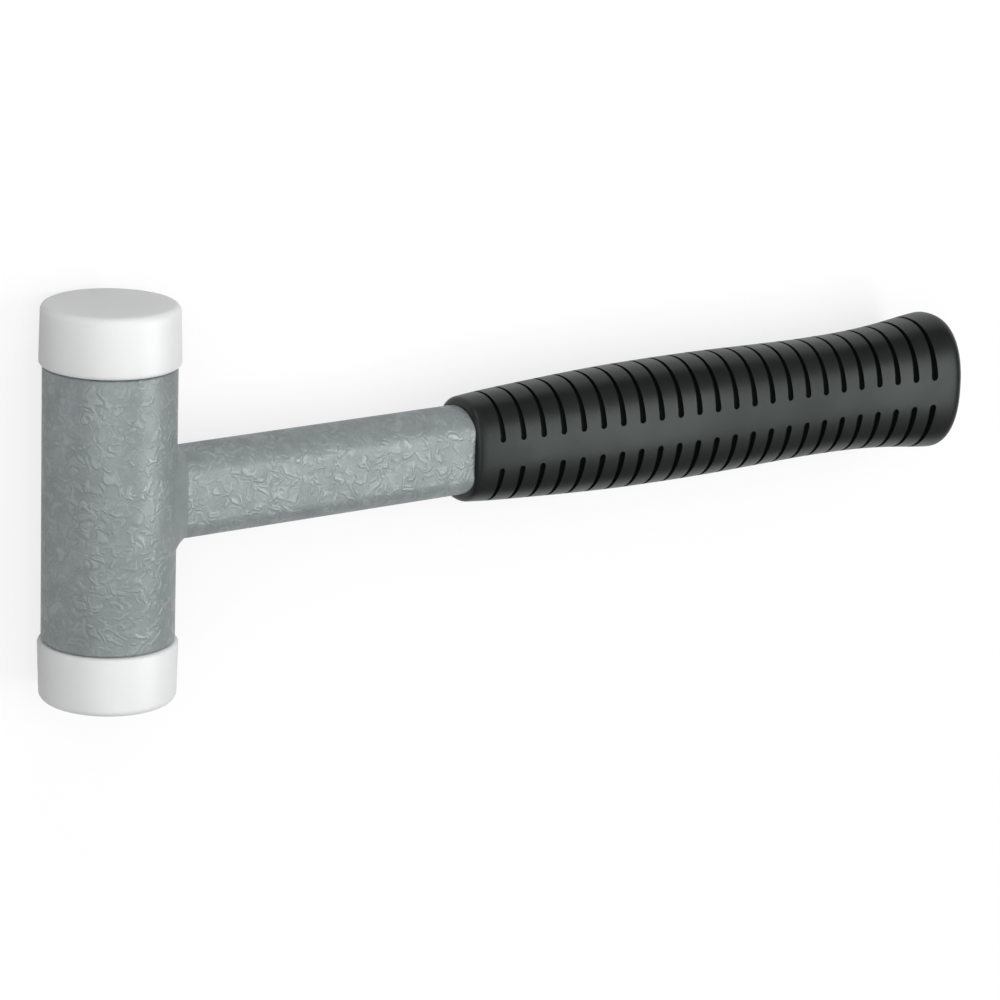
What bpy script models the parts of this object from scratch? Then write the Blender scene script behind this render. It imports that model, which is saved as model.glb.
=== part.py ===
"""Dead blow hammer: a tubular steel head holding loose shot between two nylon faces,
a steel tube handle welded to the head, and a slotted rubber grip.
Metres, +Z up; the hammer lies on its side with the handle along +X and the head along Y."""

import math

import bmesh
import bpy

# Head: steel tube and the nylon faces pressed into its two sockets
HEAD_TUBE_DIAMETER = 0.0332
HEAD_TUBE_LENGTH = 0.0696
HEAD_TUBE_CHAMFER = 0.0005
SOCKET_WALL = 0.0026
SOCKET_DEPTH = 0.0147
CHAMBER_WALL = 0.0034
FACE_DIAMETER = 0.0350
FACE_TAPER = 0.0004
FACE_HEIGHT = 0.0152
FACE_EDGE_RADIUS = 0.0018
FACE_RIM_RADIUS = 0.0010
SPIGOT_LENGTH = 0.0117
SPIGOT_GROOVE_DEPTH = 0.0006
SPIGOT_GROOVES = 3
SPIGOT_LEAD = 0.0010
DISC_THICKNESS = 0.0024
DISC_CHAMFER = 0.0004

# Shot charge: layers of balls, each with one ball in the middle and a ring round it
SHOT_LAYERS = 3
SHOT_RING_COUNT = 6

# Handle: flat-sided oval tube, measured from the head axis
HANDLE_HEIGHT = 0.0235
HANDLE_THICKNESS = 0.0170
HANDLE_WALL = 0.0018
HANDLE_SQUARENESS = 2.55
HANDLE_END = 0.2560
WELD_LEG = 0.0034
WELD_SAG = 0.35

# Grip: lengths along it, the places of its shape measured back from its end, and its heights there
GRIP_LENGTH = 0.1642
GRIP_END_WALL = 0.0117
GRIP_FLARE_BACK = 0.0068
GRIP_WAIST_BACK = 0.0490
GRIP_BELLY_BACK = 0.0940
GRIP_START_HEIGHT = 0.0275
GRIP_BELLY_HEIGHT = 0.0337
GRIP_WAIST_HEIGHT = 0.0325
GRIP_FLARE_HEIGHT = 0.0377
GRIP_FLATNESS = 0.744
GRIP_SQUARENESS = 2.3
GRIP_LIP_RADIUS = 0.0008
SLIT_COUNT = 24
SLIT_START_MARGIN = 0.0075
SLIT_END_MARGIN = 0.0114
SLIT_WIDTH = 0.0014
SLIT_DEPTH = 0.0010
SLIT_OVERCUT = 0.0015
STRIP_HEIGHT = 0.0073

# Shared by every piece that sits in or on another
FIT_GAP = 0.0003

# Number of facets
TURNED_STEPS = 48
OVAL_SIDES = 44
ROUNDING_STEPS = 4
SLIT_STEPS = 8
GRIP_SPAN_STEPS = 5

# Places along the handle, from the head axis
grip_end = HANDLE_END + FIT_GAP + GRIP_END_WALL
grip_start = grip_end - GRIP_LENGTH
grip_belly = grip_end - GRIP_BELLY_BACK
grip_waist = grip_end - GRIP_WAIST_BACK
grip_flare = grip_end - GRIP_FLARE_BACK

# Looks: colour, roughness and metallic
PAINTED_STEEL = ((0.36, 0.38, 0.38), 0.45, 0.3)
BARE_STEEL = ((0.42, 0.42, 0.43), 0.35, 1.0)
WHITE_NYLON = ((0.86, 0.87, 0.85), 0.45, 0.0)
BLACK_RUBBER = ((0.02, 0.02, 0.022), 0.7, 0.0)


def new_collection(name):
    made = bpy.data.collections.new(name)
    bpy.context.scene.collection.children.link(made)
    return made


def new_empty(name, parent=None):
    made = bpy.data.objects.new(name, None)
    hammer.objects.link(made)
    made.parent = parent
    return made


def new_material(name, look):
    colour, roughness, metallic = look
    made = bpy.data.materials.new(name)
    made.use_nodes = True
    shader = made.node_tree.nodes["Principled BSDF"]
    shader.inputs["Base Color"].default_value = (*colour, 1.0)
    shader.inputs["Roughness"].default_value = roughness
    shader.inputs["Metallic"].default_value = metallic
    made.diffuse_color = (*colour, 1.0)
    return made


def new_part(name, built, look, parent):
    """A visible piece from a finished bmesh, with a material of its own."""
    mesh = bpy.data.meshes.new(name)
    bmesh.ops.recalc_face_normals(built, faces=built.faces)
    built.to_mesh(mesh)
    built.free()
    mesh.materials.append(new_material(name + "_material", look))
    part = bpy.data.objects.new(name, mesh)
    hammer.objects.link(part)
    part.parent = parent
    return part


def new_cutter(name, built, parent):
    mesh = bpy.data.meshes.new(name)
    bmesh.ops.recalc_face_normals(built, faces=built.faces)
    built.to_mesh(mesh)
    built.free()
    cutter = bpy.data.objects.new(name, mesh)
    cutters.objects.link(cutter)
    cutter.parent = parent
    cutter.hide_render = True
    cutter.display_type = "WIRE"
    return cutter


def cut(part, cutter):
    boolean = part.modifiers.new(cutter.name, "BOOLEAN")
    boolean.operation = "DIFFERENCE"
    boolean.solver = "EXACT"
    boolean.object = cutter


def turned(name, profile, look, parent):
    """A piece turned about local Z from (radius, height) points, listed down its outside."""
    built = bmesh.new()
    points = [built.verts.new((radius, 0.0, height)) for radius, height in profile]
    for here, there in zip(points, points[1:]):
        built.edges.new((here, there))
    if profile[0][0] > 0.0:
        built.edges.new((points[-1], points[0]))
    part = new_part(name, built, look, parent)
    screw = part.modifiers.new("turning", "SCREW")
    screw.axis = "Z"
    screw.steps = TURNED_STEPS
    screw.render_steps = TURNED_STEPS
    screw.use_merge_vertices = True
    screw.merge_threshold = 0.00001
    return part


def arc(centre_radius, centre_height, bend, start, finish):
    """Points of a rounded edge in a turned profile; angles in degrees from the radius."""
    points = []
    for step in range(ROUNDING_STEPS + 1):
        angle = math.radians(start + (finish - start) * step / ROUNDING_STEPS)
        radius = centre_radius + bend * math.cos(angle)
        height = centre_height + bend * math.sin(angle)
        points.append((radius, height))
    return points


def oval_point(place, half_height, half_thickness, squareness, angle):
    """A point of an oval section across the handle; the angle starts at the top."""
    up = math.cos(angle)
    side = math.sin(angle)
    power = 2.0 / squareness
    height = math.copysign(abs(up) ** power, up) * half_height
    depth = math.copysign(abs(side) ** power, side) * half_thickness
    return (place, depth, height)


def oval(place, half_height, half_thickness, squareness):
    angles = [2.0 * math.pi * side / OVAL_SIDES for side in range(OVAL_SIDES)]
    return [oval_point(place, half_height, half_thickness, squareness, angle) for angle in angles]


def handle_oval(place, offset):
    """The handle's outer section, grown or shrunk by an offset."""
    return oval(
        place,
        HANDLE_HEIGHT / 2.0 + offset,
        HANDLE_THICKNESS / 2.0 + offset,
        HANDLE_SQUARENESS,
    )


def loft(built, rings, endless):
    """Skins a row of rings; an endless row closes on itself, any other is capped."""
    rows = [[built.verts.new(point) for point in ring] for ring in rings]
    pairs = list(zip(rows, rows[1:]))
    if endless:
        pairs.append((rows[-1], rows[0]))
    for near, far in pairs:
        for side in range(len(near)):
            beyond = (side + 1) % len(near)
            built.faces.new((near[side], near[beyond], far[beyond], far[side]))
    if not endless:
        built.faces.new(rows[0])
        built.faces.new(rows[-1])


def grip_half_height(place):
    """Half the grip's height: it swells to a belly, narrows to a waist and flares at the end."""
    if place < grip_belly:
        share = max(0.0, (place - grip_start) / (grip_belly - grip_start))
        eased = math.sin(share * math.pi / 2.0)
        height = GRIP_START_HEIGHT + (GRIP_BELLY_HEIGHT - GRIP_START_HEIGHT) * eased
    elif place < grip_waist:
        share = (place - grip_belly) / (grip_waist - grip_belly)
        eased = (1.0 - math.cos(share * math.pi)) / 2.0
        height = GRIP_BELLY_HEIGHT + (GRIP_WAIST_HEIGHT - GRIP_BELLY_HEIGHT) * eased
    else:
        share = min(1.0, (place - grip_waist) / (grip_flare - grip_waist))
        height = GRIP_WAIST_HEIGHT + (GRIP_FLARE_HEIGHT - GRIP_WAIST_HEIGHT) * share**2
    return height / 2.0


def grip_oval(place, sink):
    """The grip's outer section, taken in by a depth below the surface there."""
    half_height = grip_half_height(place)
    return oval(
        place,
        half_height - sink,
        half_height * GRIP_FLATNESS - sink,
        GRIP_SQUARENESS,
    )


for found in list(bpy.data.objects):
    bpy.data.objects.remove(found)

hammer = new_collection("dead_blow_hammer")
cutters = new_collection("cutters")

# The hammer is laid out upright, head axis on local Z and handle on local X, then laid on its side.
overall_length = FACE_DIAMETER / 2.0 + grip_end
hammer_frame = new_empty("hammer_frame")
hammer_frame.rotation_euler = (-math.pi / 2.0, 0.0, 0.0)
hammer_frame.location = (FACE_DIAMETER / 2.0 - overall_length / 2.0, 0.0, FACE_DIAMETER / 2.0)

# Head tube: a thick middle forms the shot chamber, a wider socket opens at each end.
tube_radius = HEAD_TUBE_DIAMETER / 2.0
tube_end = HEAD_TUBE_LENGTH / 2.0
socket_radius = tube_radius - SOCKET_WALL
chamber_radius = tube_radius - CHAMBER_WALL
seat = tube_end - SOCKET_DEPTH
turned(
    "head_tube",
    [
        (tube_radius - HEAD_TUBE_CHAMFER, tube_end),
        (tube_radius, tube_end - HEAD_TUBE_CHAMFER),
        (tube_radius, -tube_end + HEAD_TUBE_CHAMFER),
        (tube_radius - HEAD_TUBE_CHAMFER, -tube_end),
        (socket_radius, -tube_end),
        (socket_radius, -seat),
        (chamber_radius, -seat),
        (chamber_radius, seat),
        (socket_radius, seat),
        (socket_radius, tube_end),
    ],
    PAINTED_STEEL,
    hammer_frame,
)

# Nylon faces: a tapered striking pad with a rim over the tube end and a ribbed spigot in the socket.
face_radius = FACE_DIAMETER / 2.0
strike_radius = face_radius - FACE_TAPER
spigot_radius = socket_radius - FIT_GAP
groove_radius = spigot_radius - SPIGOT_GROOVE_DEPTH
groove_pitch = SPIGOT_LENGTH / (2 * SPIGOT_GROOVES + 2)
face_profile = [(0.0, FACE_HEIGHT)]
face_profile += arc(
    strike_radius - FACE_EDGE_RADIUS,
    FACE_HEIGHT - FACE_EDGE_RADIUS,
    FACE_EDGE_RADIUS,
    90.0,
    0.0,
)
face_profile += arc(face_radius - FACE_RIM_RADIUS, FACE_RIM_RADIUS, FACE_RIM_RADIUS, 0.0, -90.0)
face_profile.append((spigot_radius, 0.0))
for groove in range(SPIGOT_GROOVES):
    groove_top = -groove_pitch * (2 * groove + 1)
    face_profile.append((spigot_radius, groove_top))
    face_profile.append((groove_radius, groove_top))
    face_profile.append((groove_radius, groove_top - groove_pitch))
    face_profile.append((spigot_radius, groove_top - groove_pitch))
face_profile.append((spigot_radius, SPIGOT_LEAD - SPIGOT_LENGTH))
face_profile.append((spigot_radius - SPIGOT_LEAD, -SPIGOT_LENGTH))
face_profile.append((0.0, -SPIGOT_LENGTH))
for name, turn in (("upper_face", 0.0), ("lower_face", math.pi)):
    face = turned(name, face_profile, WHITE_NYLON, hammer_frame)
    face.rotation_euler = (turn, 0.0, 0.0)
    face.location = (0.0, 0.0, math.cos(turn) * (tube_end + FIT_GAP))

# Steel discs: they rest on the seats in the tube and close the shot chamber behind the spigots.
disc_radius = socket_radius - FIT_GAP
disc_profile = [
    (0.0, DISC_THICKNESS),
    (disc_radius - DISC_CHAMFER, DISC_THICKNESS),
    (disc_radius, DISC_THICKNESS - DISC_CHAMFER),
    (disc_radius, 0.0),
    (0.0, 0.0),
]
for name, turn in (("upper_chamber_disc", 0.0), ("lower_chamber_disc", math.pi)):
    disc = turned(name, disc_profile, BARE_STEEL, hammer_frame)
    disc.rotation_euler = (turn, 0.0, 0.0)
    disc.location = (0.0, 0.0, math.cos(turn) * (seat + FIT_GAP))

# Shot: the ball size follows the chamber, three balls across with a gap at each contact.
shot_radius = (chamber_radius - 2.0 * FIT_GAP) / 3.0
shot_pitch = 2.0 * shot_radius + FIT_GAP
shot_charge = new_empty("shot_charge", hammer_frame)
for layer in range(SHOT_LAYERS):
    layer_height = (layer - (SHOT_LAYERS - 1) / 2.0) * shot_pitch
    spots = [(0.0, 0.0)]
    for place in range(SHOT_RING_COUNT):
        angle = 2.0 * math.pi * place / SHOT_RING_COUNT
        spots.append((shot_pitch * math.cos(angle), shot_pitch * math.sin(angle)))
    for number, (across, deep) in enumerate(spots):
        built = bmesh.new()
        bmesh.ops.create_icosphere(built, subdivisions=2, radius=shot_radius)
        ball = new_part(f"shot_layer{layer + 1}_ball{number + 1}", built, BARE_STEEL, shot_charge)
        ball.location = (across, deep, layer_height)

# Handle tube: an oval tube whose end is shaped to sit on the round of the head.
built = bmesh.new()
handle_root = tube_radius / 2.0
loft(
    built,
    [
        handle_oval(handle_root, 0.0),
        handle_oval(HANDLE_END, 0.0),
        handle_oval(HANDLE_END, -HANDLE_WALL),
        handle_oval(handle_root, -HANDLE_WALL),
    ],
    True,
)
handle_tube = new_part("handle_tube", built, PAINTED_STEEL, hammer_frame)
built = bmesh.new()
bmesh.ops.create_cone(
    built,
    cap_ends=True,
    segments=2 * TURNED_STEPS,
    radius1=tube_radius + FIT_GAP,
    radius2=tube_radius + FIT_GAP,
    depth=2.0 * HANDLE_HEIGHT,
)
cut(handle_tube, new_cutter("head_round", built, hammer_frame))

# Weld: a hollow fillet round the handle, following the saddle where the oval meets the round head.
weld_rings = []
weld_sections = (
    (FIT_GAP, FIT_GAP),
    (FIT_GAP, WELD_LEG),
    (WELD_LEG * WELD_SAG, WELD_LEG * WELD_SAG),
    (WELD_LEG, FIT_GAP),
)
for out, along in weld_sections:
    ring = []
    for place, depth, height in handle_oval(0.0, out):
        saddle = math.sqrt(tube_radius**2 - depth**2)
        ring.append((saddle + along, depth, height))
    weld_rings.append(ring)
built = bmesh.new()
loft(built, weld_rings, True)
new_part("handle_weld", built, PAINTED_STEEL, hammer_frame)

# Rubber grip: a sleeve with a rounded lip, closed and rounded behind the end of the handle tube.
bore_end = HANDLE_END + FIT_GAP
grip_rings = [
    handle_oval(bore_end, FIT_GAP),
    handle_oval(grip_start, FIT_GAP),
]
for step in range(ROUNDING_STEPS + 1):
    angle = math.pi / 2.0 * step / ROUNDING_STEPS
    place = grip_start + GRIP_LIP_RADIUS * (1.0 - math.cos(angle))
    grip_rings.append(grip_oval(place, GRIP_LIP_RADIUS * (1.0 - math.sin(angle))))
grip_spans = (
    (grip_start + GRIP_LIP_RADIUS, grip_belly),
    (grip_belly, grip_waist),
    (grip_waist, grip_flare),
)
for start, finish in grip_spans:
    for step in range(1, GRIP_SPAN_STEPS + 1):
        grip_rings.append(grip_oval(start + (finish - start) * step / GRIP_SPAN_STEPS, 0.0))
for step in range(1, ROUNDING_STEPS + 1):
    angle = math.pi / 2.0 * step / ROUNDING_STEPS
    place = grip_flare + GRIP_FLARE_BACK * math.sin(angle)
    grip_rings.append(grip_oval(place, GRIP_FLARE_BACK * (1.0 - math.cos(angle))))
built = bmesh.new()
loft(built, grip_rings, False)
rubber_grip = new_part("rubber_grip", built, BLACK_RUBBER, hammer_frame)

# Slits: two rows of cuts round the grip, one over the top and one under it, with a plain strip on each side.
built = bmesh.new()
slit_first = grip_start + SLIT_START_MARGIN
slit_last = grip_end - SLIT_END_MARGIN
slit_pitch = (slit_last - slit_first) / (SLIT_COUNT - 1)
for slit in range(SLIT_COUNT):
    middle = slit_first + slit * slit_pitch
    half_height = grip_half_height(middle)
    half_thickness = half_height * GRIP_FLATNESS
    strip_share = STRIP_HEIGHT / 2.0 / half_height
    reach = math.acos(strip_share ** (GRIP_SQUARENESS / 2.0))
    for row_centre in (0.0, math.pi):
        sections = []
        for step in range(SLIT_STEPS + 1):
            angle = row_centre + reach * (2.0 * step / SLIT_STEPS - 1.0)
            section = []
            for side, growth in ((-1, -SLIT_DEPTH), (1, -SLIT_DEPTH), (1, SLIT_OVERCUT), (-1, SLIT_OVERCUT)):
                section.append(
                    oval_point(
                        middle + side * SLIT_WIDTH / 2.0,
                        half_height + growth,
                        half_thickness + growth,
                        GRIP_SQUARENESS,
                        angle,
                    )
                )
            sections.append(section)
        loft(built, sections, False)
cut(rubber_grip, new_cutter("grip_slits", built, hammer_frame))
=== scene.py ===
import math

import bmesh
import bpy
from mathutils import Matrix, Vector


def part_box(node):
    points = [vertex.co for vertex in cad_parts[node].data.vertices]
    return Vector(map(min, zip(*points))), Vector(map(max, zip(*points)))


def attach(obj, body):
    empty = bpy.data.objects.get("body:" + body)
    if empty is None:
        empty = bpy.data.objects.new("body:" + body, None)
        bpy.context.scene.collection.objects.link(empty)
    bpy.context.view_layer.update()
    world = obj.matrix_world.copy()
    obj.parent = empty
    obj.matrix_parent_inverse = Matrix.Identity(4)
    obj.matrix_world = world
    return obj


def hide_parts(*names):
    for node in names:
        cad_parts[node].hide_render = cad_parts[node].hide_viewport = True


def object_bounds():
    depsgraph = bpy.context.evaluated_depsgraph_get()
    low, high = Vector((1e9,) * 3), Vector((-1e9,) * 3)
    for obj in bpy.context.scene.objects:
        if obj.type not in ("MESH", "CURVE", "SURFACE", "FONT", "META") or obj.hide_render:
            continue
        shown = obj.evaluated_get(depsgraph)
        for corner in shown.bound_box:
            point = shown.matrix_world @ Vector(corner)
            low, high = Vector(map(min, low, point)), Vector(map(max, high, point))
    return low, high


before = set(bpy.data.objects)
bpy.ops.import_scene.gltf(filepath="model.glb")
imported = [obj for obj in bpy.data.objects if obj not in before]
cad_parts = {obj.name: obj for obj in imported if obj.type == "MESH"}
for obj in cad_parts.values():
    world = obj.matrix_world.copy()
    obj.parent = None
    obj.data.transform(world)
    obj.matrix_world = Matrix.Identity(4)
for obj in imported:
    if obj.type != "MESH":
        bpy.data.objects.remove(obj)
cad_low, cad_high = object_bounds()


# Head tube: a length of thick seamless steel tube, bored out at both ends to seat a nylon face,
# with the shot chamber between the bores. The outside is sprayed with a silver hammer-finish
# enamel that draws into fine curls as it dries; the bores stay bare steel.
tube_low, tube_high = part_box("head_tube")
disc_low, disc_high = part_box("upper_chamber_disc")
head_centre = (tube_low + tube_high) / 2
tube_radius = (tube_high.x - tube_low.x) / 2
tube_length = tube_high.y - tube_low.y
fit_gap = 0.0003
socket_radius = (disc_high.x - disc_low.x) / 2 + fit_gap
socket_depth = tube_high.y - disc_low.y + fit_gap
chamber_step = 0.0008
mouth_round = 0.0006
mouth_steps = 4
turned_sides = 144
head_crease = 30
square_on = 0.9
touching = 0.00002
merging = 0.000002


def open_piece():
    """Puts a new primitive's place into its mesh, so that edit mode works in the frame, and opens it."""
    bpy.ops.object.transform_apply(location=True, rotation=True, scale=True)
    bpy.ops.object.mode_set(mode="EDIT")


def pick(kind, wanted):
    """Selects, in edit mode, only the vertices, edges or faces of the piece that pass a test."""
    bpy.ops.mesh.select_mode(type=kind)
    bpy.ops.mesh.select_all(action="DESELECT")
    shape = bmesh.from_edit_mesh(bpy.context.object.data)
    for part in {"VERT": shape.verts, "EDGE": shape.edges, "FACE": shape.faces}[kind]:
        if wanted(part):
            part.select_set(True)
    bmesh.update_edit_mesh(bpy.context.object.data)


def off_head_axis(point):
    """How far a point is from the axis of the head."""
    return math.hypot(point.x - head_centre.x, point.z - head_centre.z)


def on_ring(edge, height, radius):
    """True for an edge of the ring that has this height and radius round the head's axis."""
    return all(
        abs(vert.co.y - height) < touching and abs(off_head_axis(vert.co) - radius) < touching
        for vert in edge.verts
    )


def close_piece(name, crease):
    """Ends the modelling: doubles merged, faces outwards, smooth over edges flatter than the crease."""
    bpy.ops.mesh.select_all(action="SELECT")
    bpy.ops.mesh.remove_doubles(threshold=merging)
    bpy.ops.mesh.normals_make_consistent(inside=False)
    bpy.ops.object.mode_set(mode="OBJECT")
    bpy.ops.object.shade_smooth_by_angle(angle=math.radians(crease))
    piece = bpy.context.object
    piece.name = name
    piece.data.name = name
    return piece


bpy.ops.object.select_all(action="DESELECT")
bpy.ops.mesh.primitive_cylinder_add(
    vertices=turned_sides,
    radius=tube_radius,
    depth=tube_length,
    location=head_centre,
    rotation=(math.pi / 2, 0, 0),
)
open_piece()
for end in (1, -1):
    pick("FACE", lambda face: face.normal.y * end > square_on)
    bpy.ops.mesh.inset(thickness=tube_radius - socket_radius)
    bpy.ops.mesh.extrude_region_move(TRANSFORM_OT_translate={"value": (0, -end * socket_depth, 0)})
    bpy.ops.mesh.inset(thickness=chamber_step)
pick("FACE", lambda face: off_head_axis(face.calc_center_median()) < chamber_step)
bpy.ops.mesh.bridge_edge_loops()
for end in (1, -1):
    mouth = head_centre.y + end * tube_length / 2
    pick("EDGE", lambda edge: on_ring(edge, mouth, tube_radius) or on_ring(edge, mouth, socket_radius))
    bpy.ops.mesh.bevel(offset=mouth_round, segments=mouth_steps, affect="EDGES")
head_tube = close_piece("head_tube_painted", head_crease)


def add_node(tree, kind, sockets, **settings):
    """Adds a shader node with these settings, its sockets linked to others or filled in."""
    made = tree.nodes.new(kind)
    for name, value in settings.items():
        setattr(made, name, value)
    for name, value in sockets.items():
        if isinstance(value, bpy.types.NodeSocket):
            tree.links.new(value, made.inputs[name])
        else:
            made.inputs[name].default_value = value
    return made


def sums(tree, operation, *values):
    """One step of arithmetic in a shader tree."""
    return add_node(tree, "ShaderNodeMath", dict(enumerate(values)), operation=operation).outputs[0]


def ramp(tree, value, low, high, at_low, at_high):
    """A smooth step of a value from one level to another."""
    return add_node(
        tree,
        "ShaderNodeMapRange",
        {"Value": value, "From Min": low, "From Max": high, "To Min": at_low, "To Max": at_high},
        interpolation_type="SMOOTHSTEP",
    ).outputs["Result"]


def noise(tree, place, scale, detail, distortion=0.0):
    """Cloudy noise over the surface."""
    return add_node(
        tree,
        "ShaderNodeTexNoise",
        {"Vector": place, "Scale": scale, "Detail": detail, "Distortion": distortion},
    ).outputs[0]


def blend_colours(tree, share, first, second):
    """A colour between two others. The mix node names its sockets alike, so they go by number."""
    share_in, first_in, second_in, colour_out = 0, 6, 7, 2
    mixed = add_node(
        tree, "ShaderNodeMix", {share_in: share, first_in: first, second_in: second}, data_type="RGBA"
    )
    return mixed.outputs[colour_out]


def new_group(name, inputs, outputs):
    """Starts a shader node group with named sockets; returns its tree, its inputs and its output node."""
    tree = bpy.data.node_groups.new(name, "ShaderNodeTree")
    for label, kind, value in inputs:
        tree.interface.new_socket(label, in_out="INPUT", socket_type=kind).default_value = value
    for label, kind in outputs:
        tree.interface.new_socket(label, in_out="OUTPUT", socket_type=kind)
    return tree, tree.nodes.new("NodeGroupInput").outputs, tree.nodes.new("NodeGroupOutput")


def new_material(name, settings):
    """Starts a material with one Principled shader; returns it, its tree and that shader."""
    material = bpy.data.materials.new(name)
    material.use_nodes = True
    shader = material.node_tree.nodes["Principled BSDF"]
    for socket, value in settings.items():
        shader.inputs[socket].default_value = value
    return material, material.node_tree, shader


def relief(tree, shader, height, depth):
    """Raises a height pattern on the surface by a real depth."""
    bump = add_node(tree, "ShaderNodeBump", {"Strength": 1.0, "Distance": depth, "Height": height})
    tree.links.new(bump.outputs["Normal"], shader.inputs["Normal"])


enamel_valley = (0.19, 0.213, 0.213, 1.0)
# The light end is both the enamel's paler flakes and cloud and a painted highlight on the curl crests.
enamel_light_and_crest_highlight = (0.425, 0.468, 0.468, 1.0)
enamel_metallic = 0.24
enamel_specular = 0.08
head_curls = 300.0
full_curls = 1.0
curl_depth = 0.00014
curl_detail = 1.0
curl_twist = 0.9
curl_folds = 3.0
fold_height = 0.5
fold_edge = 0.42
patch_share = 0.8
patch_detail = 1.0
patch_from = 0.36
patch_to = 0.6
patch_least = 0.4
flakes_per_metre = 2200.0
clouds_per_metre = 160.0
fine_detail = 2.0
flake_tone = 0.4
cloud_tone = 0.4
curl_highlight_tone = 0.22
flake_height = 0.1
dull_tone = 0.2
bright_tone = 0.9
dull_roughness = 0.48
bright_roughness = 0.3
finish_tree, finish_in, finish_out = new_group(
    "hammer_finish",
    [
        ("Curls per Metre", "NodeSocketFloat", head_curls),
        ("Curl Share", "NodeSocketFloat", full_curls),
        ("Valley Colour", "NodeSocketColor", enamel_valley),
        ("Light and Crest Highlight Colour", "NodeSocketColor", enamel_light_and_crest_highlight),
    ],
    [
        ("Colour", "NodeSocketColor"),
        ("Roughness", "NodeSocketFloat"),
        ("Height", "NodeSocketFloat"),
    ],
)
finish_place = add_node(finish_tree, "ShaderNodeTexCoord", {}).outputs["Object"]
curl_flow = noise(finish_tree, finish_place, finish_in["Curls per Metre"], curl_detail, curl_twist)
curl_waves = sums(finish_tree, "MULTIPLY", curl_flow, curl_folds)
curl_bands = sums(finish_tree, "PINGPONG", curl_waves, fold_height)
curl_lines = ramp(finish_tree, curl_bands, 0.0, fold_edge, 1.0, 0.0)
patch_scale = sums(finish_tree, "MULTIPLY", finish_in["Curls per Metre"], patch_share)
patch_cloud = noise(finish_tree, finish_place, patch_scale, patch_detail)
curl_patches = ramp(finish_tree, patch_cloud, patch_from, patch_to, patch_least, 1.0)
patched_curls = sums(finish_tree, "MULTIPLY", curl_lines, curl_patches)
curls = sums(finish_tree, "MULTIPLY", patched_curls, finish_in["Curl Share"])
flakes = noise(finish_tree, finish_place, flakes_per_metre, fine_detail)
cloud = noise(finish_tree, finish_place, clouds_per_metre, fine_detail)
cloudy_tone = sums(finish_tree, "MULTIPLY", cloud, cloud_tone)
fine_tone = sums(finish_tree, "MULTIPLY_ADD", flakes, flake_tone, cloudy_tone)
# Painted highlight: the raised curls lighten the colour along their crests, on top of the random tone of
# flakes and cloud.
finish_tone_and_highlight = sums(finish_tree, "MULTIPLY_ADD", curls, curl_highlight_tone, fine_tone)
finish_colour_and_highlight = blend_colours(
    finish_tree, finish_tone_and_highlight, finish_in["Valley Colour"], finish_in["Light and Crest Highlight Colour"]
)
finish_height = sums(finish_tree, "MULTIPLY_ADD", flakes, flake_height, curls)
finish_roughness = ramp(
    finish_tree, finish_tone_and_highlight, dull_tone, bright_tone, dull_roughness, bright_roughness
)
finish_tree.links.new(finish_colour_and_highlight, finish_out.inputs["Colour"])
finish_tree.links.new(finish_roughness, finish_out.inputs["Roughness"])
finish_tree.links.new(finish_height, finish_out.inputs["Height"])


def hammer_finish_paint(name, curls_per_metre, curl_share, depth):
    """Silver hammer-finish enamel, with its curls at this size, share and depth; the curl crests carry a
    painted highlight in its colour.
    """
    material, tree, shader = new_material(
        name, {"Metallic": enamel_metallic, "Specular IOR Level": enamel_specular}
    )
    enamel = tree.nodes.new("ShaderNodeGroup")
    enamel.node_tree = finish_tree
    enamel.inputs["Curls per Metre"].default_value = curls_per_metre
    enamel.inputs["Curl Share"].default_value = curl_share
    enamel.inputs["Valley Colour"].default_value = enamel_valley
    enamel.inputs["Light and Crest Highlight Colour"].default_value = enamel_light_and_crest_highlight
    tree.links.new(enamel.outputs["Colour"], shader.inputs["Base Color"])
    tree.links.new(enamel.outputs["Roughness"], shader.inputs["Roughness"])
    relief(tree, shader, enamel.outputs["Height"], depth)
    return material


head_tube.data.materials.append(hammer_finish_paint("head_enamel", head_curls, full_curls, curl_depth))
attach(head_tube, "hammer_body")
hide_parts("head_tube")


# Shot charge and chamber discs: loose hardened steel balls in the middle of the head, which carry
# on when the head stops and take up the bounce, and two turned steel discs that shut them in,
# seated at the bottom of the bores. All of it is plain unpainted steel.
steel_grains = 900.0
steel_drifts = 140.0
steel_dark = (0.42, 0.42, 0.41, 1.0)
steel_light = (0.62, 0.62, 0.6, 1.0)
steel_smooth = 0.28
steel_rough = 0.45
steel_depth = 0.00002
grain_detail = 3.0
drift_twist = 0.4
grain_low = 0.3
grain_high = 0.7
grain_tree, grain_in, grain_out = new_group(
    "surface_grain",
    [
        ("Grains per Metre", "NodeSocketFloat", steel_grains),
        ("Drift per Metre", "NodeSocketFloat", steel_drifts),
    ],
    [("Grain", "NodeSocketFloat"), ("Drift", "NodeSocketFloat")],
)
grain_place = add_node(grain_tree, "ShaderNodeTexCoord", {}).outputs["Object"]
fine_grain = noise(grain_tree, grain_place, grain_in["Grains per Metre"], grain_detail)
slow_drift = noise(grain_tree, grain_place, grain_in["Drift per Metre"], grain_detail, drift_twist)
grain_tree.links.new(fine_grain, grain_out.inputs["Grain"])
grain_tree.links.new(slow_drift, grain_out.inputs["Drift"])


def add_grain(tree, grains_per_metre, drift_per_metre):
    """Places the shared grain in a material; returns its fine grain and its slow drift."""
    grain = tree.nodes.new("ShaderNodeGroup")
    grain.node_tree = grain_tree
    grain.inputs["Grains per Metre"].default_value = grains_per_metre
    grain.inputs["Drift per Metre"].default_value = drift_per_metre
    return grain.outputs["Grain"], grain.outputs["Drift"]


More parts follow.
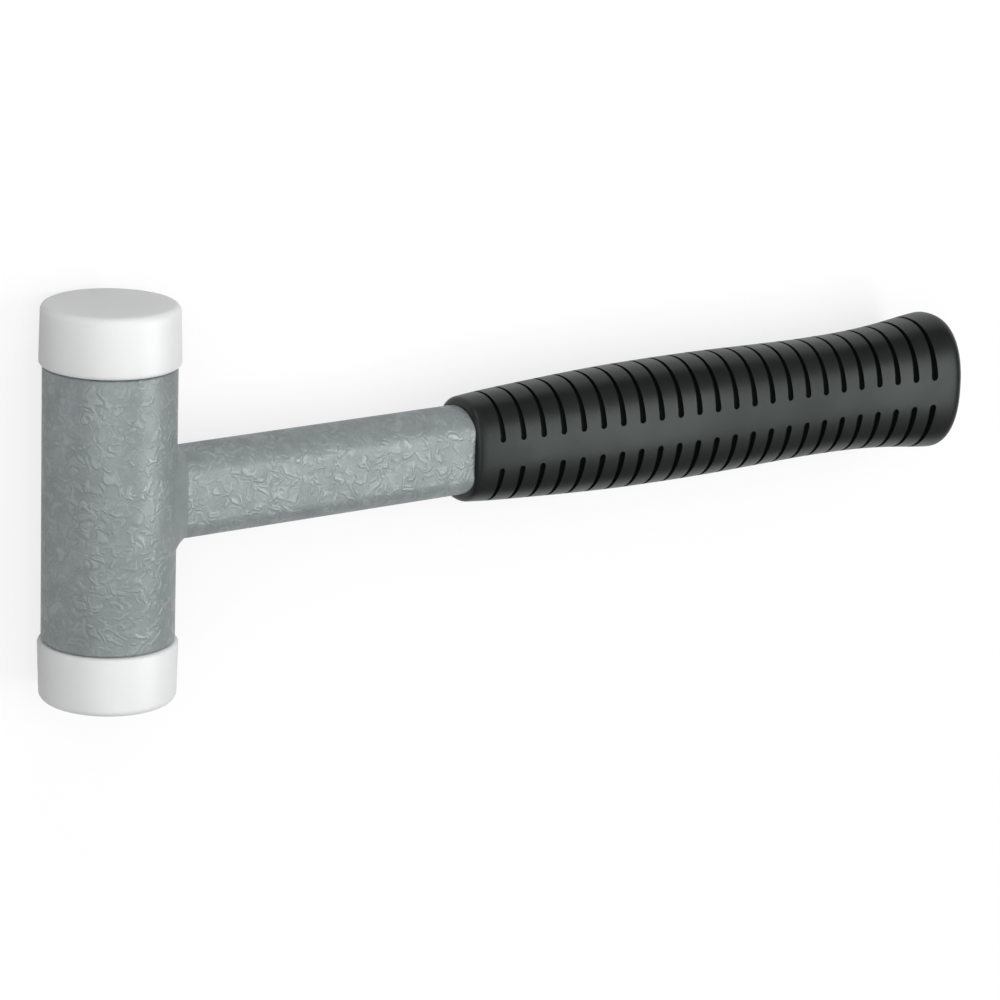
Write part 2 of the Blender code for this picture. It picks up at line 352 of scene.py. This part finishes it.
bare_steel, steel_tree, steel_shader = new_material("bare_steel_turned", {"Metallic": 1.0})
steel_grain, steel_drift = add_grain(steel_tree, steel_grains, steel_drifts)
steel_colour = blend_colours(steel_tree, steel_drift, steel_dark, steel_light)
steel_roughness = ramp(steel_tree, steel_grain, grain_low, grain_high, steel_smooth, steel_rough)
steel_tree.links.new(steel_colour, steel_shader.inputs["Base Color"])
steel_tree.links.new(steel_roughness, steel_shader.inputs["Roughness"])
relief(steel_tree, steel_shader, steel_grain, steel_depth)
for node_name, cad_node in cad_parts.items():
    if node_name.endswith("_chamber_disc") or node_name.startswith("shot_"):
        cad_node.data.materials.clear()
        cad_node.data.materials.append(bare_steel)

head_tube.data.materials.append(bare_steel)
bore_reach = socket_radius + touching
for face in head_tube.data.polygons:
    if off_head_axis(face.center) < bore_reach:
        face.material_index = 1


# Handle: flat-sided oval steel tube, cut to the curve of the head at one end, welded on there
# and sprayed together with the head. Its other end is plugged into the rubber grip.
handle_low, handle_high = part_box("handle_tube")
handle_half_height = (handle_high.y - handle_low.y) / 2
handle_half_thickness = (handle_high.z - handle_low.z) / 2
handle_wall = 0.0018
handle_flat = 0.0052
handle_sides = 96
handle_crease = 25
handle_curls = 285.0
cope_overlap = 0.0001


def flat_oval(start, finish, offset, caps):
    """Draws a bar or tube of the handle's flat-sided oval section along X, left in edit mode."""
    thickness = handle_half_thickness + offset
    crown = handle_half_height + offset - handle_flat
    bpy.ops.object.select_all(action="DESELECT")
    bpy.ops.mesh.primitive_cylinder_add(
        vertices=handle_sides,
        radius=thickness,
        depth=finish - start,
        end_fill_type=caps,
        location=((start + finish) / 2, head_centre.y, head_centre.z),
        rotation=(0, math.pi / 2, 0),
    )
    open_piece()
    bpy.ops.transform.resize(value=(1, crown / thickness, 1), center_override=head_centre)
    for side in (1, -1):
        pick("VERT", lambda vert: (vert.co.y - head_centre.y) * side > touching)
        bpy.ops.transform.translate(value=(0, side * handle_flat, 0))


def apply_modifier(piece, kind, **settings):
    """Adds a modifier to a piece with these settings, and applies it."""
    bpy.context.view_layer.objects.active = piece
    modifier = piece.modifiers.new(kind.lower(), kind)
    for name, value in settings.items():
        setattr(modifier, name, value)
    bpy.ops.object.modifier_apply(modifier=modifier.name)


def cut_away(piece, cutter):
    """Cuts one piece by another, which is used up."""
    apply_modifier(piece, "BOOLEAN", object=cutter, operation="DIFFERENCE", solver="MANIFOLD")
    bpy.data.objects.remove(cutter)


flat_oval(head_centre.x, handle_high.x, 0.0, "NOTHING")
handle_tube = close_piece("handle_tube_painted", handle_crease)
apply_modifier(handle_tube, "SOLIDIFY", thickness=handle_wall, offset=-1.0)
bpy.ops.object.select_all(action="DESELECT")
bpy.ops.mesh.primitive_cylinder_add(
    vertices=turned_sides,
    radius=tube_radius - cope_overlap,
    depth=tube_length,
    location=head_centre,
    rotation=(math.pi / 2, 0, 0),
)
cut_away(handle_tube, bpy.context.object)
bpy.context.view_layer.objects.active = handle_tube
handle_tube.select_set(True)
bpy.ops.object.shade_smooth_by_angle(angle=math.radians(handle_crease))
handle_tube.data.materials.clear()
handle_tube.data.materials.append(
    hammer_finish_paint("handle_enamel", handle_curls, full_curls, curl_depth)
)
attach(handle_tube, "hammer_body")
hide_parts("handle_tube")


# Weld: one run of filler all round the joint of handle and head, ground to an even fillet and
# sprayed over, so that the enamel lies smoother there than on the tubes.
weld_leg = 0.0032
weld_swell = 0.0009
weld_hollow = 0.40
weld_bite = 0.0003
weld_runs = 192
weld_steps = 10
weld_ripple = 0.00006
weld_ripples = 60
weld_crease = 60
weld_curls = 270.0
weld_curl_share = 0.3
weld_curl_depth = 0.0001


def handle_outline(turn):
    """A point of the handle's section at this turn round it, from its middle, and the way it faces."""
    crown = handle_half_height - handle_flat
    lift = math.copysign(handle_flat, math.cos(turn)) if abs(math.cos(turn)) > touching else 0.0
    point = Vector((0, lift + crown * math.cos(turn), handle_half_thickness * math.sin(turn)))
    facing = Vector((0, math.cos(turn) / crown, math.sin(turn) / handle_half_thickness)).normalized()
    return point, facing


def head_surface(side):
    """How far along the handle the head's surface lies, at this distance from the middle plane."""
    return math.sqrt(tube_radius**2 - side**2)


bpy.ops.object.select_all(action="DESELECT")
bpy.ops.mesh.primitive_torus_add(
    major_segments=weld_runs,
    minor_segments=weld_steps,
    major_radius=handle_half_height,
    minor_radius=weld_leg,
    location=head_centre,
)
open_piece()
weld_shape = bmesh.from_edit_mesh(bpy.context.object.data)
weld_shape.verts.ensure_lookup_table()
for run in range(weld_runs):
    turn = 2 * math.pi * (run + 0.5) / weld_runs
    root, facing = handle_outline(turn)
    root.x = head_surface(root.z)
    leg = weld_leg + weld_swell * math.sin(turn) ** 2 + weld_ripple * math.sin(turn * weld_ripples)
    on_handle = root - facing * weld_bite
    on_handle.x += leg
    on_head = root + facing * leg
    on_head.x = head_surface(on_head.z) - weld_bite
    under = root - facing * weld_bite
    under.x -= weld_bite
    inwards = (root - (on_handle + on_head) / 2) * 2
    for step in range(weld_steps):
        vert = weld_shape.verts[run * weld_steps + step]
        share = step / (weld_steps - 2)
        sink = (1 - 2 * weld_hollow) * math.sin(math.pi * min(share, 1.0)) / 2
        fillet = on_handle.lerp(on_head, min(share, 1.0)) + inwards * sink
        vert.co = head_centre + (fillet if step < weld_steps - 1 else under)
bmesh.update_edit_mesh(bpy.context.object.data)
weld = close_piece("handle_weld_painted", weld_crease)
weld.data.materials.append(
    hammer_finish_paint("weld_enamel", weld_curls, weld_curl_share, weld_curl_depth)
)
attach(weld, "hammer_body")
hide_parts("handle_weld")


# Nylon faces: turned from milky white nylon rod, each with a soft struck edge and a ribbed spigot
# that is pressed into the head. Both are the same turning, and a worn one is pulled out and replaced.
face_low, face_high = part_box("upper_face")
face_radius = (face_high.x - face_low.x) / 2
struck_height = face_high.y
shoulder_height = tube_high.y + fit_gap
face_taper = 0.0004
struck_round = 0.0018
struck_steps = 10
rim_round = 0.0010
rim_steps = 6
face_crease = 32
spigot_radius = socket_radius - fit_gap
spigot_end = face_low.y
spigot_lead = 0.0010
groove_count = 3
groove_depth = 0.0006
land_length = (shoulder_height - spigot_end - spigot_lead) / (2 * groove_count + 1)


def draw_out(step, scale, centre):
    """Extrudes what is selected by a step, and scales the new end about a centre."""
    bpy.ops.mesh.extrude_region_move(TRANSFORM_OT_translate={"value": step})
    bpy.ops.transform.resize(value=scale, center_override=centre)


bpy.ops.object.select_all(action="DESELECT")
bpy.ops.mesh.primitive_cylinder_add(
    vertices=turned_sides,
    radius=face_radius,
    depth=struck_height - shoulder_height,
    location=(head_centre.x, (struck_height + shoulder_height) / 2, head_centre.z),
    rotation=(math.pi / 2, 0, 0),
)
open_piece()
pick("FACE", lambda face: face.normal.y > square_on)
struck_radius = face_radius - face_taper
struck_scale = struck_radius / face_radius
bpy.ops.transform.resize(value=(struck_scale, 1, struck_scale), center_override=head_centre)
pick("FACE", lambda face: face.normal.y < -square_on)
bpy.ops.mesh.inset(thickness=face_radius - spigot_radius)
groove_scale = (spigot_radius - groove_depth) / spigot_radius
for groove in range(groove_count):
    draw_out((0, -land_length, 0), (1, 1, 1), head_centre)
    draw_out((0, 0, 0), (groove_scale, 1, groove_scale), head_centre)
    draw_out((0, -land_length, 0), (1, 1, 1), head_centre)
    draw_out((0, 0, 0), (1 / groove_scale, 1, 1 / groove_scale), head_centre)
draw_out((0, -land_length, 0), (1, 1, 1), head_centre)
draw_out((0, -spigot_lead, 0), (groove_scale, 1, groove_scale), head_centre)
pick("EDGE", lambda edge: on_ring(edge, struck_height, struck_radius))
bpy.ops.mesh.bevel(offset=struck_round, segments=struck_steps, affect="EDGES")
pick("EDGE", lambda edge: on_ring(edge, shoulder_height, face_radius))
bpy.ops.mesh.bevel(offset=rim_round, segments=rim_steps, affect="EDGES")
upper_face = close_piece("upper_face_nylon", face_crease)

nylon_translucence = 0.6
nylon_reach = (1.0, 1.0, 1.0)
nylon_scatter = 0.004
nylon_specular = 0.5
nylon_grains = 1400.0
nylon_drifts = 70.0
nylon_shade = (0.83, 0.84, 0.835, 1.0)
nylon_light = (0.9, 0.91, 0.905, 1.0)
nylon_smooth = 0.38
nylon_rough = 0.48
turning_rings = 700.0
turning_waver = 0.6
turning_detail = 1.0
turning_share = 0.25
turning_depth = 0.000008
nylon, nylon_tree, nylon_shader = new_material(
    "white_nylon",
    {
        "Subsurface Weight": nylon_translucence,
        "Subsurface Radius": nylon_reach,
        "Subsurface Scale": nylon_scatter,
        "Specular IOR Level": nylon_specular,
    },
)
nylon_grain, nylon_drift = add_grain(nylon_tree, nylon_grains, nylon_drifts)
nylon_colour = blend_colours(nylon_tree, nylon_drift, nylon_shade, nylon_light)
nylon_roughness = ramp(nylon_tree, nylon_drift, grain_low, grain_high, nylon_smooth, nylon_rough)
nylon_tree.links.new(nylon_colour, nylon_shader.inputs["Base Color"])
nylon_tree.links.new(nylon_roughness, nylon_shader.inputs["Roughness"])
nylon_place = add_node(
    nylon_tree,
    "ShaderNodeMapping",
    {
        "Vector": add_node(nylon_tree, "ShaderNodeTexCoord", {}).outputs["Object"],
        "Location": (-head_centre.x, -head_centre.y, -head_centre.z),
    },
).outputs["Vector"]
turning_marks = add_node(
    nylon_tree,
    "ShaderNodeTexWave",
    {
        "Vector": nylon_place,
        "Scale": turning_rings,
        "Distortion": turning_waver,
        "Detail": turning_detail,
    },
    wave_type="RINGS",
    rings_direction="Y",
).outputs["Fac"]
nylon_height = sums(nylon_tree, "MULTIPLY_ADD", turning_marks, turning_share, nylon_grain)
relief(nylon_tree, nylon_shader, nylon_height, turning_depth)
upper_face.data.materials.append(nylon)
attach(upper_face, "upper_face")
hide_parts("upper_face")

bpy.ops.object.select_all(action="DESELECT")
lower_face = upper_face.copy()
lower_face.data = upper_face.data.copy()
bpy.context.scene.collection.objects.link(lower_face)
lower_face.parent = None
half_turn = Matrix.Rotation(math.pi, 4, "Z")
lower_face.data.transform(Matrix.Translation(head_centre) @ half_turn @ Matrix.Translation(-head_centre))
lower_face.name = "lower_face_nylon"
lower_face.data.name = "lower_face_nylon"
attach(lower_face, "lower_face")
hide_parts("lower_face")


# Rubber grip: a black rubber sleeve moulded closed at the end, pushed on to the handle. It swells
# in the palm, narrows and flares at the end, and two rows of slits give it bite, one over the top
# and one under it, with a plain strip between them on each side.
grip_low, grip_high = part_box("rubber_grip")
grip_start = grip_low.x
grip_end = grip_high.x
grip_flatness = 0.744
grip_squareness = 2.3
grip_sides = 128
grip_ring_pitch = 0.0016
grip_crease = 40
bore_gap = fit_gap / 3
lip_round = 0.0016
lip_steps = 5
end_round = 0.0042
end_steps = 10
palm_profile = (
    (0.0000, 0.01375),
    (0.0062, 0.01434),
    (0.0122, 0.01477),
    (0.0182, 0.01511),
    (0.0242, 0.01546),
    (0.0362, 0.01608),
    (0.0482, 0.01655),
    (0.0602, 0.01676),
    (0.0722, 0.01684),
    (0.0842, 0.01677),
    (0.0962, 0.01655),
    (0.1082, 0.01633),
    (0.1152, 0.01625),
    (0.1262, 0.01637),
    (0.1322, 0.01656),
    (0.1382, 0.01689),
    (0.1442, 0.01739),
    (0.1502, 0.01806),
    (0.1562, 0.01880),
    (0.1602, 0.01914),
    (0.1642, 0.01920),
)


def palm_half_height(place):
    """Half the grip's height at a place along X, on a smooth curve through the profile's stations."""
    along = place - grip_start
    last = len(palm_profile) - 2
    span = next((i for i in range(last) if along < palm_profile[i + 1][0]), last)
    before = palm_profile[max(span - 1, 0)]
    first, second = palm_profile[span], palm_profile[span + 1]
    after = palm_profile[min(span + 2, last + 1)]
    width = second[0] - first[0]
    share = (along - first[0]) / width
    rise_in = width * (second[1] - before[1]) / (second[0] - before[0])
    rise_out = width * (after[1] - first[1]) / (after[0] - first[0])
    return (
        first[1] * (1 + 2 * share) * (1 - share) ** 2
        + rise_in * share * (1 - share) ** 2
        + second[1] * share**2 * (3 - 2 * share)
        - rise_out * share**2 * (1 - share)
    )


def square_up(half_height, half_thickness):
    """Draws the open piece's unit circle out to the grip's squarish oval."""
    shape = bmesh.from_edit_mesh(bpy.context.object.data)
    for vert in shape.verts:
        up = vert.co.y - head_centre.y
        out = vert.co.z - head_centre.z
        vert.co.y = head_centre.y + half_height * math.copysign(abs(up) ** (2 / grip_squareness), up)
        vert.co.z = head_centre.z + half_thickness * math.copysign(abs(out) ** (2 / grip_squareness), out)
    bmesh.update_edit_mesh(bpy.context.object.data)


def ring_at(place, sink):
    """Place, half height and half thickness of a ring of the grip, taken in below its surface."""
    half_height = palm_half_height(place)
    return place, half_height - sink, half_height * grip_flatness - sink


grip_rings = []
for step in range(lip_steps + 1):
    angle = math.pi / 2 * step / lip_steps
    grip_rings.append(
        ring_at(grip_start + lip_round * (1 - math.cos(angle)), lip_round * (1 - math.sin(angle)))
    )
flare_start = grip_end - end_round
palm_length = flare_start - grip_start - lip_round
palm_steps = math.ceil(palm_length / grip_ring_pitch)
for step in range(1, palm_steps):
    share = step / palm_steps
    grip_rings.append(ring_at(grip_start + lip_round + share * palm_length, 0.0))
for step in range(end_steps + 1):
    angle = math.pi / 2 * step / end_steps
    flare = ring_at(flare_start, end_round * (1 - math.cos(angle)))
    grip_rings.append((flare_start + end_round * math.sin(angle), flare[1], flare[2]))

bpy.ops.object.select_all(action="DESELECT")
bpy.ops.mesh.primitive_circle_add(
    vertices=grip_sides,
    radius=1.0,
    fill_type="NGON",
    location=(grip_start, head_centre.y, head_centre.z),
    rotation=(0, math.pi / 2, 0),
)
open_piece()
square_up(grip_rings[0][1], grip_rings[0][2])
bpy.ops.mesh.select_all(action="SELECT")
for before, after in zip(grip_rings, grip_rings[1:]):
    draw_out(
        (after[0] - before[0], 0, 0),
        (1, after[1] / before[1], after[2] / before[2]),
        head_centre,
    )
end_ring = grip_rings[-1]
bpy.ops.mesh.inset(thickness=end_ring[2] / 2)
rubber_grip = close_piece("rubber_grip_slotted", grip_crease)

slit_count = 24
slit_lead = 0.0075
slit_tail = 0.0114
slit_first = grip_start + slit_lead
slit_last = grip_end - slit_tail
slit_width = 0.0018
slit_crown_width = 0.36
slit_depth = 0.00115
slit_overcut = 0.0015
strip_half_height = 0.00365
slit_end_round = 0.0009
slit_end_cuts = (0.0, 0.08, 0.3, 0.62, 1.0)
slit_end_blunt = 0.3

first_height = palm_half_height(slit_first)
bpy.ops.object.select_all(action="DESELECT")
bpy.ops.mesh.primitive_cylinder_add(
    vertices=grip_sides,
    radius=1.0,
    depth=slit_width,
    end_fill_type="NOTHING",
    location=(slit_first, head_centre.y, head_centre.z),
    rotation=(0, math.pi / 2, 0),
)
open_piece()
square_up(first_height + slit_overcut, first_height * grip_flatness + slit_overcut)
for side in (1, -1):
    for cut in slit_end_cuts:
        level = head_centre.y + side * (strip_half_height + cut * slit_end_round)
        bpy.ops.mesh.select_all(action="SELECT")
        bpy.ops.mesh.bisect(plane_co=(slit_first, level, head_centre.z), plane_no=(0, 1, 0))
pick("FACE", lambda face: abs(face.calc_center_median().y - head_centre.y) < strip_half_height)
bpy.ops.mesh.delete(type="FACE")
slit_shape = bmesh.from_edit_mesh(bpy.context.object.data)
for vert in slit_shape.verts:
    past_end = abs(vert.co.y - head_centre.y) - strip_half_height
    over = min(max(past_end / first_height, 0.0), 1.0)
    to_end = 1.0 - min(max(past_end / slit_end_round, 0.0), 1.0)
    narrowed = max(math.sqrt(1.0 - to_end**2), slit_end_blunt) * (1.0 - over * (1.0 - slit_crown_width))
    vert.co.x = slit_first + (vert.co.x - slit_first) * narrowed
bmesh.update_edit_mesh(bpy.context.object.data)
slit_cutter = close_piece("slit_cutter", grip_crease)
apply_modifier(
    slit_cutter,
    "SOLIDIFY",
    thickness=slit_depth + slit_overcut,
    offset=-1.0,
    use_even_offset=True,
)
cutters = []
for slit in range(slit_count):
    place = slit_first + (slit_last - slit_first) * slit / (slit_count - 1)
    grown = palm_half_height(place) / first_height
    cutter = slit_cutter.copy()
    cutter.data = slit_cutter.data.copy()
    bpy.context.scene.collection.objects.link(cutter)
    for vert in cutter.data.vertices:
        up = vert.co.y - head_centre.y
        past_end = abs(up) - strip_half_height
        taller = abs(up) + (grown - 1.0) * past_end * first_height / (first_height - strip_half_height)
        vert.co.x = place + grown * (vert.co.x - slit_first)
        vert.co.y = head_centre.y + math.copysign(taller, up)
        vert.co.z = head_centre.z + grown * (vert.co.z - head_centre.z)
    cutters.append(cutter)
bpy.data.objects.remove(slit_cutter)
flat_oval(grip_start - lip_round, handle_high.x + fit_gap, bore_gap, "NGON")
bore_cutter = close_piece("grip_bore_cutter", grip_crease)
cut_away(rubber_grip, bore_cutter)
bpy.ops.object.select_all(action="DESELECT")
for cutter in cutters:
    cutter.select_set(True)
bpy.context.view_layer.objects.active = cutters[0]
bpy.ops.object.join()
cut_away(rubber_grip, cutters[0])
bpy.context.view_layer.objects.active = rubber_grip
rubber_grip.select_set(True)
bpy.ops.object.shade_smooth_by_angle(angle=math.radians(grip_crease))

rubber_specular = 0.37
rubber_tint = (0.9, 1.0, 0.97, 1.0)
rubber_grains = 2200.0
rubber_drifts = 55.0
rubber_dark = (0.003, 0.004, 0.004, 1.0)
rubber_light = (0.006, 0.0078, 0.0076, 1.0)
rubber_smooth = 0.36
rubber_rough = 0.42
rubber_depth = 0.000015
rubber, rubber_tree, rubber_shader = new_material(
    "black_rubber", {"Specular IOR Level": rubber_specular, "Specular Tint": rubber_tint}
)
rubber_grain, rubber_drift = add_grain(rubber_tree, rubber_grains, rubber_drifts)
rubber_colour = blend_colours(rubber_tree, rubber_drift, rubber_dark, rubber_light)
rubber_roughness = ramp(rubber_tree, rubber_drift, grain_low, grain_high, rubber_smooth, rubber_rough)
rubber_tree.links.new(rubber_colour, rubber_shader.inputs["Base Color"])
rubber_tree.links.new(rubber_roughness, rubber_shader.inputs["Roughness"])
relief(rubber_tree, rubber_shader, rubber_grain, rubber_depth)
rubber_grip.data.materials.clear()
rubber_grip.data.materials.append(rubber)
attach(rubber_grip, "hammer_body")
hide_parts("rubber_grip")


# Floor: a plain pale sweep of paper, wide enough to fill the view, that takes the soft shadow.
# Seen by the camera or in a gloss it is lifted to the white of lit paper.
floor_size = 12.0
floor_light = (0.26, 0.26, 0.26, 1.0)
floor_shade = (0.24, 0.24, 0.24, 1.0)
floor_lift = 0.76
floor_white = (1.0, 1.0, 1.0, 1.0)
floor_roughness = 0.9
floor_grains = 400.0
floor_drifts = 6.0
bpy.ops.object.select_all(action="DESELECT")
bpy.ops.mesh.primitive_plane_add(size=floor_size, location=(0, 0, cad_low[2]))
floor = bpy.context.object
floor.name = "studio_floor"
paper, paper_tree, paper_shader = new_material(
    "floor_paper",
    {"Roughness": floor_roughness, "Specular IOR Level": 0.0, "Emission Color": floor_white},
)
paper_drift = add_grain(paper_tree, floor_grains, floor_drifts)[1]
paper_colour = blend_colours(paper_tree, paper_drift, floor_shade, floor_light)
paper_tree.links.new(paper_colour, paper_shader.inputs["Base Color"])
rays = add_node(paper_tree, "ShaderNodeLightPath", {}).outputs
seen = sums(paper_tree, "MAXIMUM", rays["Is Camera Ray"], rays["Is Glossy Ray"])
seen = sums(paper_tree, "MAXIMUM", seen, rays["Is Transmission Ray"])
paper_lift = sums(paper_tree, "MULTIPLY", seen, floor_lift)
paper_tree.links.new(paper_lift, paper_shader.inputs["Emission Strength"])
floor.data.materials.append(paper)


# Light: a pale room that darkens towards the horizon, a wide soft panel overhead on the head's
# side, a small one that lights the struck end of the upper face, and a long panel over the grip
# that gives the enamel and the rubber their sheen.
room_overhead = (0.0, 0.0, 1.0)
room_low = 0.06
room_high = 0.46
room_low_rise = 0.12
room_high_rise = 0.6
room_white = (1.0, 1.0, 1.0, 1.0)
room = bpy.data.worlds.new("studio_room")
room.use_nodes = True
room_tree = room.node_tree
room_way = add_node(room_tree, "ShaderNodeTexCoord", {}).outputs["Generated"]
room_rise = add_node(
    room_tree, "ShaderNodeVectorMath", {0: room_way, 1: room_overhead}, operation="DOT_PRODUCT"
).outputs["Value"]
room_tree.links.new(
    ramp(room_tree, room_rise, room_low_rise, room_high_rise, room_low, room_high),
    room_tree.nodes["Background"].inputs["Strength"],
)
room_tree.nodes["Background"].inputs["Color"].default_value = room_white
bpy.context.scene.world = room
bpy.context.scene.view_settings.view_transform = "Standard"


def hang_panel(name, offset, size, power):
    """Hangs a soft lamp of this size at an offset from the middle of the hammer, facing it."""
    middle = Vector((0.0, 0.0, head_centre.z))
    facing = (-Vector(offset)).to_track_quat("-Z", "Y").to_euler()
    bpy.ops.object.light_add(type="AREA", location=middle + Vector(offset), rotation=facing)
    panel = bpy.context.object
    panel.name = name
    panel.data.shape = "RECTANGLE"
    panel.data.size = size[0]
    panel.data.size_y = size[1]
    panel.data.energy = power


overhead_offset = (-0.62, 0.14, 0.72)
overhead_size = (1.1, 1.1)
overhead_power = 4.4
face_offset = (-0.125, 0.6, 0.3)
face_size = (0.3, 0.3)
face_power = 0.75
sheen_offset = (0.6, -0.04, 0.85)
sheen_size = (0.8, 0.4)
sheen_power = 4.8
hang_panel("overhead_panel", overhead_offset, overhead_size, overhead_power)
hang_panel("face_panel", face_offset, face_size, face_power)
hang_panel("sheen_panel", sheen_offset, sheen_size, sheen_power)


# Camera: a long lens above the table on the head's side, turned so that the handle recedes to the
# right and the top of the upper face just shows.
camera_recede = math.radians(35.918)
camera_over = math.radians(15.958)
camera_roll = math.radians(2.114)
camera_distance = 1.07508
camera_aim_offset = (0.11851, -0.01566, 0.0)
camera_aim = head_centre + Vector(camera_aim_offset)
camera_lens = 147.089
camera_sensor = 36.0
back = Vector(
    (
        -math.cos(camera_over) * math.sin(camera_recede),
        math.sin(camera_over),
        math.cos(camera_over) * math.cos(camera_recede),
    )
)
level = Vector((math.cos(camera_recede), 0.0, math.sin(camera_recede)))
right = Matrix.Rotation(camera_roll, 3, back) @ level
up = back.cross(right)
bpy.ops.object.camera_add()
camera = bpy.context.object
camera.name = "photo_camera"
camera.matrix_world = Matrix.Translation(camera_aim + back * camera_distance) @ Matrix(
    (right, up, back)
).transposed().to_4x4()
camera.data.sensor_width = camera_sensor
camera.data.lens = camera_lens
bpy.context.scene.camera = camera
